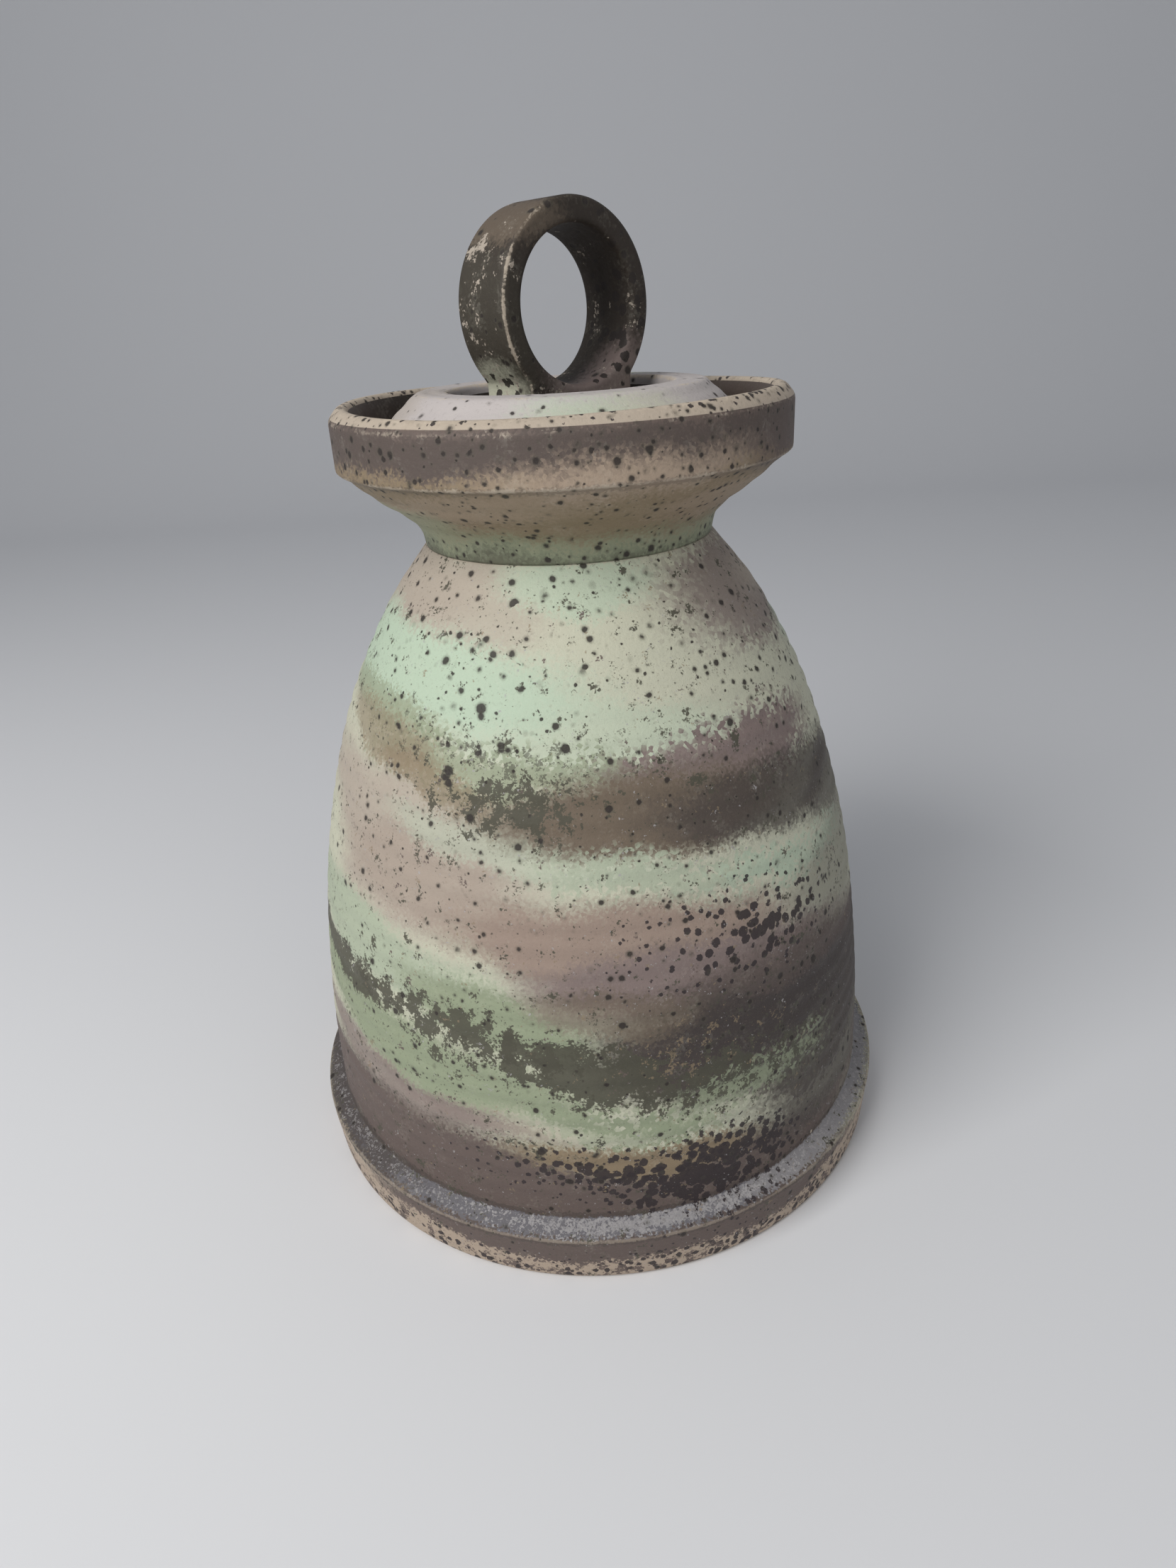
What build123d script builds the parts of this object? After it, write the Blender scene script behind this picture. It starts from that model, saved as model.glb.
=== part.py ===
from build123d import *
import os

# Lidded stoneware jar, shaped like a bell: a thrown body on a stepped foot, a flared collar
# luted on at the neck, a lid dropped on a gallery inside the collar, and a thrown ring
# luted upright on the lid as its handle.
#
# Frame: millimetres, +Z up, origin at the centre of the base.
# The ring handle's axis runs along Y, so its finger hole is open towards -Y and +Y.

# ---------------------------------------------------------------- foot
foot_radius = 78.0  # base circle that the jar stands on
foot_bevel = 1.2  # softened lower edge
flange_flare = 1.2  # the flange leans out this far on its way up
flange_height = 13.4  # height of the flange's sharp outer edge
ledge_width = 4.8  # sloping ledge from that edge in to the bell wall
ledge_rise = 2.2

# ---------------------------------------------------------------- bell
belly_radius = 73.0
belly_height = 45.0
waist_radius = 68.1
waist_height = 82.0
shoulder_radius = 58.4
shoulder_drop = 42.0  # below the neck
slope_radius = 46.0
slope_drop = 16.5  # below the neck
neck_radius = 33.6  # crease where the collar is luted on
neck_height = 159.0
wall = 6.0
neck_wall = 5.2
floor_thickness = 8.0
floor_corner = 12.0  # inside sweep from the floor into the wall

# ---------------------------------------------------------------- collar
collar_radius = 51.6  # upright band
collar_wall = 5.2
bowl_rise = 17.4  # neck to the ridge under the band
bowl_hollow = 1.2  # the outside of the bowl curves in this far from a straight cone
ridge_step = 1.3  # the ridge overhangs the bowl by this much
ridge_drop = 0.5
band_height = 11.0  # ridge to the lip's sharp outer edge
lip_chamfer = 2.1  # from that edge in to the crest
lip_rise = 2.4
lip_round = 1.2  # inner side of the crest
lip_fall = 2.5
gallery_rise = 0.8  # ledge for the lid, above the ridge
gallery_width = 4.6

# ---------------------------------------------------------------- lid
lid_gap = 1.4  # lid edge to the collar's inner wall
lid_edge = 3.4  # upright edge
lid_height = 14.4  # seat to the top
lid_top_radius = 32.2  # top of the conical flank
lid_turned_round = 1.2
lid_wall = 5.0
seat_width = 4.4  # flat ring under the lid that lies on the gallery
dish_radius = 25.0  # sunk centre of the top
dish_depth = 4.8

# ---------------------------------------------------------------- ring handle
ring_radius = 20.5
ring_hole = 15.4  # radius of the finger hole
ring_width = 16.0  # along its own axis
ring_round = 1.8
ring_sink = 0.2  # pressed this far into the lid
luting_length = 29.0  # pad of clay that joins the ring to the lid
luting_height = 5.4
luting_inset = 0.4  # the pad stops this far short of the ring's ends
luting_corner = 3.0

os.makedirs("parts", exist_ok=True)

# ---------------------------------------------------------------- shared places
flange_radius = foot_radius + flange_flare
ledge_radius = flange_radius - ledge_width
ledge_height = flange_height + ledge_rise
neck_bore = neck_radius - neck_wall
ridge_height = neck_height + bowl_rise
lip_edge_height = ridge_height + band_height
lip_height = lip_edge_height + lip_rise
gallery_height = ridge_height + gallery_rise
collar_inner = collar_radius - collar_wall
gallery_inner = collar_inner - gallery_width
lid_radius = collar_inner - lid_gap
lid_top = gallery_height + lid_height
dish_floor = lid_top - dish_depth
lid_ceiling = dish_floor - lid_wall
ring_centre = dish_floor - ring_sink + ring_radius

# outside of the bell, from the foot's ledge up to the neck
bell_outline = [
    (ledge_radius, ledge_height),
    (belly_radius, belly_height),
    (waist_radius, waist_height),
    (shoulder_radius, neck_height - shoulder_drop),
    (slope_radius, neck_height - slope_drop),
    (neck_radius, neck_height),
]


def inset(outline, thickness):
    """The outline's inner points, each moved inwards, square to its neighbours' chord."""
    moved = []
    for before, here, after in zip(outline, outline[1:], outline[2:]):
        run = Vector(after[0] - before[0], after[1] - before[1]).normalized()
        moved.append((here[0] - thickness * run.Y, here[1] + thickness * run.X))
    return moved


# One thrown piece: flat base, stepped foot flange and bell wall, open at the neck.
with BuildPart() as jar_body:
    with BuildSketch(Plane.XZ):
        with BuildLine():
            foot = Polyline(
                (0, floor_thickness),
                (0, 0),
                (foot_radius - foot_bevel, 0),
                (foot_radius, foot_bevel),
                (flange_radius, flange_height),
                (ledge_radius, ledge_height),
            )
            bell = Spline(*bell_outline)
            mouth = Line(bell @ 1, (neck_bore, neck_height))
            corner_top = (ledge_radius - wall, floor_thickness + floor_corner)
            corner_foot = (ledge_radius - wall - floor_corner, floor_thickness)
            down = (0, -1)
            Spline(
                mouth @ 1,
                *reversed(inset(bell_outline, wall)),
                corner_top,
                tangents=[bell % 1 * -1, down],
            )
            RadiusArc(corner_top, corner_foot, floor_corner)
            Line(corner_foot, foot @ 0)
        make_face()
    revolve(axis=Axis.Z)
jar_body.part.label = "jar_body"

# Thrown apart from the bell: a bowl that opens from the neck into an upright band, with a
# gallery turned inside it for the lid. Its flat lower ring is luted to the bell.
with BuildPart() as collar:
    with BuildSketch(Plane.XZ):
        with BuildLine():
            bowl_foot = Vector(neck_radius, neck_height)
            bowl_top = Vector(collar_radius - ridge_step, ridge_height)
            outwards = (bowl_top - bowl_foot).normalized()
            bowl_middle = (bowl_foot + bowl_top) / 2 + Vector(-outwards.Y, outwards.X) * bowl_hollow
            steep = (0.25, 1)  # the bowl leaves the neck nearly upright
            flat = (0.9, 1)  # and opens out to about 45 degrees
            bowl = Spline(bowl_foot, bowl_middle, bowl_top, tangents=[steep, flat])
            rim = Polyline(
                bowl @ 1,
                (collar_radius, ridge_height + ridge_drop),
                (collar_radius, lip_edge_height),
                (collar_radius - lip_chamfer, lip_height),
                (collar_inner + lip_round, lip_height),
                (collar_inner, lip_height - lip_fall),
                (collar_inner, gallery_height),
                (gallery_inner, gallery_height),
            )
            throat = Spline(
                rim @ 1,
                (neck_bore, neck_height),
                tangents=[(-flat[0], -flat[1]), (-steep[0], -steep[1])],
            )
            Line(throat @ 1, bowl @ 0)
        make_face()
    revolve(axis=Axis.Z)
collar.part.label = "collar"

# A hollow cone frustum with an upright edge, a sunk dish on top and a flat seat below.
with BuildPart() as lid:
    with BuildSketch(Plane.XZ):
        with BuildLine():
            middle = Polyline(
                (0, lid_ceiling),
                (0, dish_floor),
                (dish_radius - dish_depth, dish_floor),
            )
            dish_side = RadiusArc(middle @ 1, (dish_radius, lid_top), -dish_depth)
            Polyline(
                dish_side @ 1,
                (lid_top_radius, lid_top),
                (lid_radius, gallery_height + lid_edge),
                (lid_radius, gallery_height),
                (lid_radius - seat_width, gallery_height),
                (lid_top_radius, lid_ceiling),
                middle @ 0,
            )
        flank = make_face()
        turned = flank.vertices().group_by(Axis.X)[-1].sort_by(Axis.Y)[-1:]
        turned += flank.vertices().group_by(Axis.Y)[-1].sort_by(Axis.X)[-1:]
        fillet(turned, lid_turned_round)
    revolve(axis=Axis.Z)
lid.part.label = "lid"

# A short thrown tube stood on edge, with the pad of clay that lutes it to the lid.
with BuildPart() as ring_handle:
    with BuildSketch(Plane.YZ):
        with Locations((0, ring_centre + (ring_radius + ring_hole) / 2)):
            RectangleRounded(ring_width, ring_radius - ring_hole, ring_round)
    revolve(axis=Axis((0, 0, ring_centre), (0, 1, 0)))
    with BuildSketch(Plane.XY.offset(dish_floor)):
        RectangleRounded(luting_length, ring_width - 2 * luting_inset, luting_corner)
    extrude(amount=luting_height)
    with BuildSketch(Plane.XZ):
        with Locations((0, ring_centre)):
            Circle(ring_hole)
    extrude(amount=ring_width, both=True, mode=Mode.SUBTRACT)
    split(bisect_by=Plane.XY.offset(dish_floor), keep=Keep.TOP)
ring_handle.part.label = "ring_handle"

for piece in (jar_body, collar, lid, ring_handle):
    export_step(piece.part, f"parts/{piece.part.label}.step")
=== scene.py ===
import math
import bpy
import mathutils
import numpy as np
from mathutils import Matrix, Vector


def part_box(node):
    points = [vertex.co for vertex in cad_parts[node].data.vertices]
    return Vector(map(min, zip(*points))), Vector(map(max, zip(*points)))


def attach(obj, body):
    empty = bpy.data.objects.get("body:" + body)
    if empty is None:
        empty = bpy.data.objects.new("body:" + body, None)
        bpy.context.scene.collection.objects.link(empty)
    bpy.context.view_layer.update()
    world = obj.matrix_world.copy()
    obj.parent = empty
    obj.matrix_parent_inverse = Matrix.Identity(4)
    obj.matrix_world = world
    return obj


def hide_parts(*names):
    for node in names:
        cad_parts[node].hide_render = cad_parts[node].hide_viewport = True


bl_info = {
    "name": "Stoneware Jar",
    "version": (1, 0, 0),
    "blender": (4, 5, 0),
    "location": "3D View > Sidebar > Jar",
    "description": "Builds a thrown, glazed lidded jar around its measured frame",
    "category": "Add Mesh",
}

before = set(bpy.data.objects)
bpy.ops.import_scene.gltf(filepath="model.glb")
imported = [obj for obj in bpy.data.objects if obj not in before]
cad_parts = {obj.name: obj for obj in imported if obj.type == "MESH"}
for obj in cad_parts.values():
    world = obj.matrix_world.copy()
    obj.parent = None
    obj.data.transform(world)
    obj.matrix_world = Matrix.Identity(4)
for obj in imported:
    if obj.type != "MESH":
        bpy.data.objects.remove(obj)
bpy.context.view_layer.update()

MM = 0.001

# ------------------------------------------------------------------ places from the frame
BELL_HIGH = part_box("jar_body")[1]
COLLAR_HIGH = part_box("collar")[1]
LID_LOW, LID_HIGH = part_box("lid")
RING_LOW, RING_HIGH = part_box("ring_handle")
FLANGE_RADIUS, NECK_HEIGHT = BELL_HIGH.x, BELL_HIGH.z
COLLAR_RADIUS, LIP_HEIGHT = COLLAR_HIGH.x, COLLAR_HIGH.z
LID_RADIUS, LID_TOP, GALLERY_HEIGHT = LID_HIGH.x, LID_HIGH.z, LID_LOW.z
RING_RADIUS, RING_WIDTH = RING_HIGH.x, RING_HIGH.y - RING_LOW.y
RING_CENTRE, DISH_FLOOR = RING_HIGH.z - RING_HIGH.x, RING_LOW.z

FRONT = math.radians(-130.3)  # the side of the jar that faces the camera, as an angle about +Z

# bends in the bell's wall, the collar's bowl and its throat, as radius and height in millimetres
BELL_WALL = ((73, 45), (68.1, 82), (58.4, 117), (46, 142.5))
BOWL_BENDS = ((34.8, 163.4), (38.6, 167.2), (43.7, 170.8))
THROAT_BENDS = ((36.4, 172.2), (31.6, 166.6), (29.2, 162.4))

# a piece's finishes: matt glaze sprayed outside, which looks dry and sandy; brown liner glaze poured
# inside, which is smoother and gleams a little; and bare toasted clay, which is rough and warm
GLAZED, LINED, BARE = 0, 1, 2
WOBBLE_SEED = 3


def linear(hex_colour):
    """An sRGB hex colour as linear red, green, blue."""
    parts = [int(hex_colour[i:i + 2], 16) / 255 for i in (1, 3, 5)]
    return tuple(p / 12.92 if p <= 0.04045 else ((p + 0.055) / 1.055) ** 2.4 for p in parts)


# ------------------------------------------------------------------ what a user would change
def length(name, description, default):
    """A length in metres."""
    return bpy.props.FloatProperty(
        name=name, description=description, default=default, min=0.0, precision=5,
        unit="LENGTH", subtype="DISTANCE")


def colour(name, description, hex_colour):
    """A linear colour with its default as an sRGB hex value."""
    return bpy.props.FloatVectorProperty(
        name=name, description=description, default=linear(hex_colour),
        size=3, min=0.0, max=1.0, subtype="COLOR")


class JarShape(bpy.types.PropertyGroup):
    """Sizes of the thrown pieces that their boxes don't give"""
    flange_height: length("Flange height", "Of the foot's sharp upper edge", 13.4 * MM)
    flange_flare: length("Flange flare", "How far the flange leans out", 1.2 * MM)
    ledge_width: length("Ledge width", "From the flange's edge in to the bell", 4.8 * MM)
    ledge_rise: length("Ledge rise", "From the flange's edge up to the bell", 2.2 * MM)
    wall: length("Wall", "Thickness of the bell", 6 * MM)
    floor: length("Floor", "Thickness of the bell's floor", 8 * MM)
    neck_radius: length("Neck radius", "Crease between bell and collar", 33.6 * MM)
    neck_wall: length("Neck wall", "Thickness at the neck", 5.2 * MM)
    ridge_height: length("Ridge height", "Of the sharp ridge under the collar's band", 176.4 * MM)
    ridge_step: length("Ridge step", "How far that ridge stands over the bowl", 1.3 * MM)
    collar_wall: length("Collar wall", "Thickness of the band", 5.2 * MM)
    lip_chamfer: length("Lip chamfer", "Slope outside the lip", 2.1 * MM)
    lip_rise: length("Lip rise", "Height of that slope", 2.4 * MM)
    gallery_width: length("Gallery width", "Ledge that the lid sits on", 4.6 * MM)
    lid_edge: length("Lid edge", "Upright edge of the lid", 3.4 * MM)
    lid_top_radius: length("Lid top radius", "Where the lid's flank ends", 32.2 * MM)
    lid_wall: length("Lid wall", "Thickness under the dish", 5 * MM)
    lid_seat: length("Lid seat", "Width of the flat ring that rests on the gallery", 4.4 * MM)
    dish_radius: length("Dish radius", "Sunk centre of the lid", 25 * MM)
    ring_hole: length("Ring hole", "Radius of the finger hole", 15.4 * MM)
    ring_corner: length("Ring corner", "Rounding of the ring's edges", 1.3 * MM)
    pad_length: length("Pad length", "Clay that lutes the ring to the lid", 29 * MM)


class JarThrowing(bpy.types.PropertyGroup):
    """Marks of the hand, the wheel and the kiln"""
    ridge_depth: length("Throwing ridges", "Depth of the spiral finger ridges", 0.16 * MM)
    ridge_pitch: length("Ridge pitch", "Climb of the ridges in one turn", 5.2 * MM)
    wobble: length("Wobble", "How far the walls wander from a true circle", 0.35 * MM)
    rim_warp: length("Rim warp", "How far the collar's rim rises and falls", 0.5 * MM)
    mesh_step: length("Mesh step", "Distance between rings of the mesh on the bell's wall", 1.2 * MM)


class JarGlaze(bpy.types.PropertyGroup):
    """Colours of the glazes, washes and clay"""
    cream: colour("Cream", "Base glaze over the whole jar", "#BFBFAB")
    mint: colour("Mint", "Copper-bearing pale green", "#B3C4AE")
    celadon: colour("Celadon", "Greyer green below the mint", "#A8B19B")
    moss: colour("Moss", "Yellower green, lower down", "#8F987E")
    blush: colour("Blush", "Pinkish beige where the glaze is thin", "#ACA194")
    rose: colour("Rose", "Pinkish tan", "#968478")
    mauve: colour("Mauve", "Purple-grey manganese wash", "#80716D")
    tan: colour("Tan", "Rutile tan brown", "#86765F")
    bark: colour("Bark", "Brown where the tan lies thick", "#6C5F51")
    umber: colour("Umber", "Dark brown-grey manganese wash", "#48403C")
    plum: colour("Plum", "Red-brown wash on the foot and collar", "#625550")
    olive: colour("Olive", "Dark olive mottle", "#4B493D")
    chocolate: colour("Chocolate", "Nearly black brown mottle", "#30282A")
    sable: colour("Sable", "Almost black brown on the ring and inside the collar", "#322A23")
    slate: colour("Slate", "Grey sheen on the foot's ledge", "#67656A")
    # pale grains in the slate, and partly a painted sheen on the ledge's front
    silver_and_sheen: colour("Silver", "Pale grains in the slate", "#A3A0A0")
    buff: colour("Buff", "Pale pinkish tan on the collar", "#A3917F")
    pearl: colour("Pearl", "Pale lilac white on the lid", "#BDB6B4")
    sand: colour("Sand", "Buff clay that shows through", "#AD9C8B")
    clay: colour("Clay", "Bare toasted clay underneath", "#A38A6C")
    # also paints the highlight along the ring's lit front edge
    edge: colour("Edge", "Pale glaze that breaks over an edge", "#C9BBA9")
    iron: colour("Iron", "Iron spots burnt through the glaze", "#2A2320")
    fleck: colour("Fleck", "Where the dry glaze broke over a grain of clay", "#DAD6C8")
    pore: colour("Pore", "Shade in the pores of the dry glaze", "#5A5044")


class JarCamera(bpy.types.PropertyGroup):
    """Where the jar is seen from"""
    distance: length("Distance", "Level, from the jar's axis to the lens", 238.5 * MM)
    height: length("Height", "Of the lens over the surface the jar stands on", 207.4 * MM)
    focal: length("Focal length", "Of the lens, for a 36 mm long side", 22.785 * MM)
    pitch: bpy.props.FloatProperty(
        name="Pitch", description="Downward tilt", default=math.radians(25.8), subtype="ANGLE")
    roll: bpy.props.FloatProperty(
        name="Roll", description="Turn about the line of sight", default=math.radians(3.24),
        subtype="ANGLE")
    yaw: bpy.props.FloatProperty(
        name="Yaw", description="Turn away from the jar's axis", default=math.radians(0.27),
        subtype="ANGLE")


# ------------------------------------------------------------------ turned and thrown surfaces
def smooth_path(points, steps=12):
    """A Catmull-Rom curve: each span blends its two ends and the slopes between their neighbours."""
    p = np.array(points, float)
    p = np.vstack([2 * p[0] - p[1], p, 2 * p[-1] - p[-2]])
    t = np.linspace(0, 1, steps, endpoint=False)[:, None]
    spans = [
        0.5 * (2 * b + (c - a) * t + (2 * a - 5 * b + 4 * c - d) * t ** 2
               + (3 * b - a - 3 * c + d) * t ** 3)
        for a, b, c, d in zip(p, p[1:], p[2:], p[3:])
    ]
    return np.vstack(spans + [p[-2:-1]])


def eased_corners(corners, steps=5):
    """A polyline whose corners are rounded: (r, z, round) gives a quadratic curve that starts and
    ends that far from the corner, or no more than 0.45 of the shorter side."""
    c = np.array(corners, float)
    path = [c[:1, :2]]
    t = np.linspace(0, 1, steps)[:, None]
    for before, here, after in zip(c, c[1:], c[2:]):
        into, out = before[:2] - here[:2], after[:2] - here[:2]
        lengths = np.hypot(*into), np.hypot(*out)
        ease = min(here[2], 0.45 * lengths[0], 0.45 * lengths[1])
        start, end = here[:2] + into / lengths[0] * ease, here[:2] + out / lengths[1] * ease
        path.append((1 - t) ** 2 * start + 2 * t * (1 - t) * here[:2] + t ** 2 * end)
    return np.vstack(path + [c[-1:, :2]])


def even_steps(path, step):
    """The same path with points about one step apart along its length."""
    run = np.concatenate([[0], np.cumsum(np.hypot(*np.diff(path, axis=0).T))])
    keep = np.concatenate([[True], np.diff(run) > 1e-9])
    along = np.linspace(0, run[-1], max(int(round(run[-1] / step)), 2) + 1)
    return np.column_stack([np.interp(along, run[keep], path[keep, k]) for k in (0, 1)])


def divided(path, step):
    """The same path with each run cut into equal parts no longer than one step."""
    parts = np.ceil(np.hypot(*np.diff(path, axis=0).T) / step - 1e-9).astype(int).clip(1)
    runs = [np.linspace(start, end, count, endpoint=False)
            for start, end, count in zip(path, path[1:], parts)]
    return np.vstack(runs + [path[-1:]])


def outward(path):
    """Unit normals of a path walked with the clay on its left."""
    run = np.gradient(path, axis=0)
    run /= np.maximum(np.hypot(*run.T), 1e-12)[:, None]
    return np.column_stack([run[:, 1], -run[:, 0]])


def sharpness(path):
    """How sharply a path turns round the clay at each point, from 0 on a flat to 1 on an edge: the
    angle between its two neighbouring runs over their mean length, times 1.6 mm, then spread a little."""
    run = np.diff(path, axis=0)
    size = np.maximum(np.hypot(*run.T), 1e-12)
    heading = np.arctan2(run[:, 1], run[:, 0])
    turn = (np.diff(heading) + math.pi) % (2 * math.pi) - math.pi
    bend = np.concatenate([[0], 1.6 * MM * turn / ((size[1:] + size[:-1]) / 2), [0]])
    return np.convolve(np.clip(bend, 0, 1), (0.25, 0.5, 0.25), "same")


def wander(angle, height, seed):
    """A slow uneven wave round the pot, between about -1 and 1: three sines of angle and height."""
    phase = np.random.default_rng(seed).uniform(0, 2 * math.pi, 3)
    return (0.5 * np.sin(2 * angle + phase[0] + height / 0.09)
            + 0.3 * np.sin(3 * angle + phase[1] - height / 0.05)
            + 0.2 * np.sin(5 * angle + phase[2] + height / 0.03))


def mesh_object(name, points, faces, finishes, face_finish=0, edges=0.0):
    """A smooth-shaded mesh at the origin from whole arrays: each face's finish is its place in the list
    of finishes, and each point keeps how sharp the edge is that it lies on."""
    mesh = bpy.data.meshes.new(name)
    mesh.from_pydata(points.tolist(), [], faces)
    for finish in finishes:
        mesh.materials.append(finish)
    mesh.polygons.foreach_set("use_smooth", np.ones(len(faces), bool))
    mesh.polygons.foreach_set("material_index", np.zeros(len(faces), np.int32) + face_finish)
    sharp = mesh.attributes.new("edge", "FLOAT", "POINT")
    sharp.data.foreach_set("value", (np.zeros(len(points)) + edges).astype(np.float32))
    mesh.update()
    piece = bpy.data.objects.new(name, mesh)
    bpy.context.scene.collection.objects.link(piece)
    return piece


def stand_for(piece, node, body):
    """Shows the piece in place of its CAD node, on the body it moves with."""
    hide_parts(node)
    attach(piece, body)


def turned_surface(path, finish, relief, around, closed_loop=False):
    """Corners, faces, each face's finish and each corner's edge of a profile turned about Z. At each
    angle a the profile's point (r, z) is moved along its own normal by the relief's push, raised by its
    lift, and set at (r cos a, r sin a, z). A profile that starts and ends on the axis is closed by one
    corner at each pole; a closed loop joins its last ring to its first."""
    inner = slice(None, -1) if closed_loop else slice(1, -1)
    wrapped = np.vstack([path[-2], path, path[1]]) if closed_loop else path
    trim = slice(1, -1) if closed_loop else slice(None)
    normal, sharp = outward(wrapped)[trim][inner], sharpness(wrapped)[trim][inner]
    body, body_finish = path[inner], finish[inner]
    a, row = np.meshgrid(np.arange(around) * 2 * math.pi / around, np.arange(len(body)))
    r, z = body[row, 0], body[row, 1]
    push, lift = relief(a, r, z)
    r, z = r + normal[row, 0] * push, z + normal[row, 1] * push + lift
    points = np.stack([r * np.cos(a), r * np.sin(a), z], -1).reshape(-1, 3)
    index = np.arange(len(points)).reshape(row.shape)
    here, there = (index, np.roll(index, -1, 0)) if closed_loop else (index[:-1], index[1:])
    quads = np.stack([here, np.roll(here, -1, 1), np.roll(there, -1, 1), there], -1).reshape(-1, 4)
    faces, edges = quads.tolist(), np.repeat(sharp, around)
    face_finish = np.repeat(body_finish[:len(here)], around)
    if not closed_loop:
        start, end, low, high = index[0], index[-1], len(points), len(points) + 1
        points = np.vstack([points, [[0, 0, path[0, 1]], [0, 0, path[-1, 1]]]])
        faces += np.stack([np.full(around, low), np.roll(start, -1), start], -1).tolist()
        faces += np.stack([np.full(around, high), end, np.roll(end, -1)], -1).tolist()
        pole_finish = np.repeat((finish[0], finish[-1]), around)
        face_finish = np.concatenate([face_finish, pole_finish])
        edges = np.append(edges, (0, 0))
    return points, faces, face_finish, edges


# ------------------------------------------------------------------ glaze nodes
def add(tree, kind, inputs=None, out=0, **settings):
    """Adds a node, makes its settings, fills or links its inputs and gives one of its outputs."""
    node = tree.nodes.new(kind)
    for name, value in settings.items():
        setattr(node, name, value)
    for socket, value in (inputs or {}).items():
        if isinstance(value, bpy.types.NodeSocket):
            tree.links.new(value, node.inputs[socket])
        else:
            node.inputs[socket].default_value = value
    return node.outputs[out] if node.outputs else None


def scale_of(size_mm):
    """The scale that makes one noise cloud or one cell about this many millimetres across."""
    return 1 / (size_mm * MM)


def grainy_place(tree, place, grain_mm, reach_mm, drift_mm):
    """Where a glaze grain took its colour from. The place drifts on 24 mm clouds, and then every grain,
    one cell of a mosaic, jumps by up to half its reach: soft passes turn to sand where they meet."""
    drift = add(tree, "ShaderNodeTexNoise", {
        "Vector": place, "Scale": scale_of(24), "Detail": 2.0}, "Color")
    cell = add(tree, "ShaderNodeTexVoronoi", {"Vector": place, "Scale": scale_of(grain_mm)}, "Color")
    for jump, reach in ((drift, drift_mm), (cell, reach_mm)):
        centred = add(tree, "ShaderNodeVectorMath", {0: jump, 1: (0.5,) * 3}, operation="SUBTRACT")
        place = add(tree, "ShaderNodeVectorMath", {0: centred, 1: (reach * MM,) * 3, 2: place},
                    operation="MULTIPLY_ADD")
    return place


def cover_of(tree, place, stroke):
    """How near each point is to the middle of one pass of the spray gun: 1 there, 0 at its edge. A pass
    is an ellipsoid that lies on the wall, along it, up it and through it, turned by its slant."""
    turn = FRONT + math.radians(stroke["at"])
    radius = stroke["radius"] * MM
    local = add(tree, "ShaderNodeMapping", {
        "Vector": place,
        "Location": (radius * math.cos(turn), radius * math.sin(turn), stroke["height"] * MM),
        "Rotation": (0, math.radians(stroke["slant"]), turn + math.pi / 2),
        "Scale": (stroke["long"] * MM, stroke["deep"] * MM, stroke["tall"] * MM),
    }, vector_type="TEXTURE")
    return add(tree, "ShaderNodeTexGradient", {"Vector": local}, "Fac", gradient_type="SPHERICAL")


def pass_layers(tree, places, fine, passes):
    """A layer for each pass of the gun: how much of it shows at each point, and its colour. The fine
    noise frays its edge, and it builds up to its full strength over its softness."""
    layers = []
    for stroke in passes:
        cover = cover_of(tree, places[stroke["border"]], stroke)
        frayed = add(tree, "ShaderNodeMath", {0: fine, 1: stroke["fray"], 2: cover},
                     operation="MULTIPLY_ADD")
        factor = add(tree, "ShaderNodeMapRange", {
            "Value": frayed, "From Min": stroke["fray"] * 0.5 + 0.04,
            "From Max": stroke["fray"] * 0.5 + stroke["soft"], "To Max": stroke["strength"],
        }, interpolation_type="SMOOTHSTEP")
        layers.append((factor, getattr(bpy.context.scene.jar_glaze, stroke["colour"])))
    return layers


def weather_layers(tree, fine, flake, edge_wear_and_highlight):
    """Layers for what the kiln did to the dry glaze and for painted light: it runs thin over an edge and
    breaks pale, on the ring also as a painted highlight, it is paler where it broke over a grain of clay,
    and painted shade darkens its pores."""
    palette = bpy.context.scene.jar_glaze
    # edge weight: sharpness on turned pieces; on the ring the lit front edge, partly a painted highlight
    sharp = add(tree, "ShaderNodeAttribute", out="Fac", attribute_name="edge")
    broken_and_highlit = add(tree, "ShaderNodeMath", {0: flake, 1: 1.5, 2: sharp}, operation="MULTIPLY_ADD")
    layers = []
    for value, start, end, strength, tint in (
            (broken_and_highlit, 1.3, 1.7, edge_wear_and_highlight, palette.edge),
            (flake, 0.52, 0.78, 0.12, palette.fleck),
            # painted shade in the pores
            (fine, 0.44, 0.28, 0.30, palette.pore)):
        factor = add(tree, "ShaderNodeMapRange", {
            "Value": value, "From Min": start, "From Max": end, "To Max": strength,
        }, interpolation_type="SMOOTHSTEP")
        layers.append((factor, tint))
    return layers


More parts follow.
